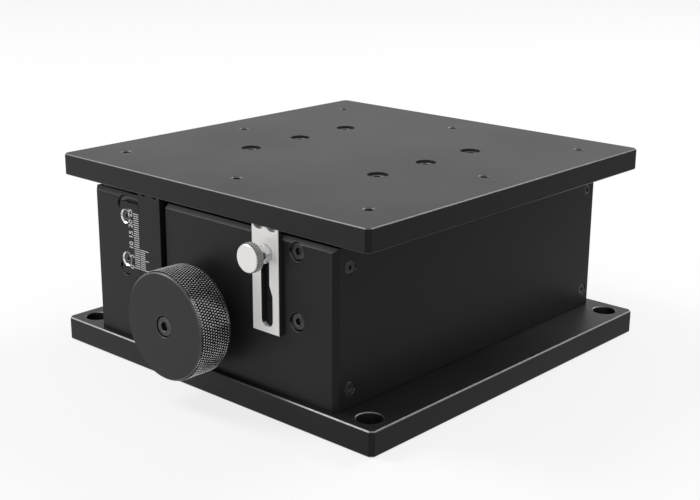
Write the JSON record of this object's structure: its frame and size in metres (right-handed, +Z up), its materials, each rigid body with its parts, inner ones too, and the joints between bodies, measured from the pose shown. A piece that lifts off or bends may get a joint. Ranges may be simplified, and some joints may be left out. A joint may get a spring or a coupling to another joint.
{
  "type": "z-axis translation stage",
  "caption": "Low square lift stage: a knob-driven wedge on crossed rollers raises a drilled table over a flanged base, with a millimetre scale and a slotted clamp plate.",
  "frame": {"origin": "centre of the base's underside", "axes": "+Z up along the lift, -Y towards the hand knob, +X to the right seen from the knob"},
  "size_m": [0.194, 0.215, 0.0915],
  "materials": {
    "black_anodised_plate": "fine-blasted black anodised aluminium",
    "black_anodised_inner": "black anodised aluminium",
    "black_knob": "black anodised, diamond knurled rim",
    "stainless_clamp": "bright stainless steel",
    "black_screws": "black oxide steel",
    "ground_steel": "ground bearing steel",
    "brass_cage": "rolled brass strip",
    "bronze_nut": "turned bronze"
  },
  "bodies": {
    "frame": {"base_plate": "black_anodised_plate", "front_plate": "black_anodised_plate", "rear_plate": "black_anodised_plate", "left_side_wall": "black_anodised_inner", "right_side_wall": "black_anodised_inner", "left_side_cover": "black_anodised_plate", "right_side_cover": "black_anodised_plate", "scale_plate": "black_anodised_plate", "scale_screws": "stainless_clamp", "bearing_retainer": "ground_steel", "bearing_retainer_screws": "ground_steel", "bearing_outer_ring": "ground_steel", "rear_bush": "bronze_nut", "base_screws": "black_screws", "front_plate_screws": "black_screws", "rear_plate_screws": "black_screws", "side_cover_screws": "black_screws", "left_base_rail": "ground_steel", "right_base_rail": "ground_steel", "base_rail_screws": "ground_steel", "left_wall_upright_rails": "ground_steel", "right_wall_upright_rails": "ground_steel", "wall_rail_screws": "ground_steel", "bearing_balls": "ground_steel"},
    "screw_shaft": {"lead_screw": "ground_steel", "bearing_inner_ring": "ground_steel", "shaft_spacer": "ground_steel", "hand_knob": "black_knob", "hand_knob_screw": "black_screws"},
    "wedge_slide": {"wedge": "black_anodised_inner", "wedge_nut": "bronze_nut", "wedge_nut_screws": "ground_steel", "left_wedge_rail": "ground_steel", "right_wedge_rail": "ground_steel", "left_wedge_incline_rail": "ground_steel", "right_wedge_incline_rail": "ground_steel", "wedge_rail_screws": "ground_steel"},
    "lift_table": {"table": "black_anodised_plate", "table_screws": "black_screws", "lift_block": "black_anodised_inner", "left_lift_incline_rail": "ground_steel", "right_lift_incline_rail": "ground_steel", "left_lift_upright_rails": "ground_steel", "right_lift_upright_rails": "ground_steel", "lift_rail_screws": "ground_steel", "vernier_arm": "black_anodised_inner", "clamp_arm": "black_anodised_inner", "arm_screws": "black_screws", "vernier_plate": "black_anodised_plate", "vernier_plate_screws": "black_screws", "clamp_plate": "stainless_clamp", "clamp_plate_screws": "black_screws"},
    "base_cages": {"base_roller_cages": "brass_cage", "base_rollers": "ground_steel"},
    "incline_cages": {"incline_roller_cages": "brass_cage", "incline_rollers": "ground_steel"},
    "upright_cages": {"upright_roller_cages": "brass_cage", "upright_rollers": "ground_steel"},
    "clamp_washer_body": {"clamp_washer": "stainless_clamp"},
    "thumb_screw_body": {"clamp_thumb_screw": "stainless_clamp"}
  },
  "joints": [
    {"name": "table_lift", "type": "slide", "parent": "frame", "child": "lift_table", "axis": [0, 0, 1], "range_m": [0, 0.025]},
    {"name": "screw_turn", "type": "hinge", "parent": "frame", "child": "screw_shaft", "pos_m": [0, 0, 0.0355], "axis": [0, 1, 0], "range_deg": [0, 9010]},
    {"name": "wedge_travel", "type": "slide", "parent": "frame", "child": "wedge_slide", "axis": [0, -1, 0], "range_m": [0, 0.0501]},
    {"name": "base_cage_travel", "type": "slide", "parent": "frame", "child": "base_cages", "axis": [0, -1, 0], "range_m": [0, 0.02505]},
    {"name": "incline_cage_travel", "type": "slide", "parent": "wedge_slide", "child": "incline_cages", "axis": [0, 0.8944, 0.4472], "range_m": [0, 0.02801]},
    {"name": "upright_cage_travel", "type": "slide", "parent": "frame", "child": "upright_cages", "axis": [0, 0, 1], "range_m": [0, 0.01252]},
    {"name": "clamp_advance", "type": "slide", "parent": "frame", "child": "clamp_washer_body", "axis": [0, 1, 0], "range_m": [-0.0007, 0.00023]},
    {"name": "clamp_turn", "type": "hinge", "parent": "clamp_washer_body", "child": "thumb_screw_body", "pos_m": [0.0386, -0.0976, 0.0706], "axis": [0, 1, 0], "range_deg": [-361, 121]}
  ],
  "couplings": [
    {"joint": "screw_turn", "follows": "table_lift", "rad_per_m": 6283.2},
    {"joint": "wedge_travel", "follows": "table_lift", "ratio": 2},
    {"joint": "base_cage_travel", "follows": "table_lift", "ratio": 1},
    {"joint": "incline_cage_travel", "follows": "table_lift", "ratio": 1.118},
    {"joint": "upright_cage_travel", "follows": "table_lift", "ratio": 0.5},
    {"joint": "clamp_turn", "follows": "clamp_advance", "rad_per_m": 8976}
  ]
}
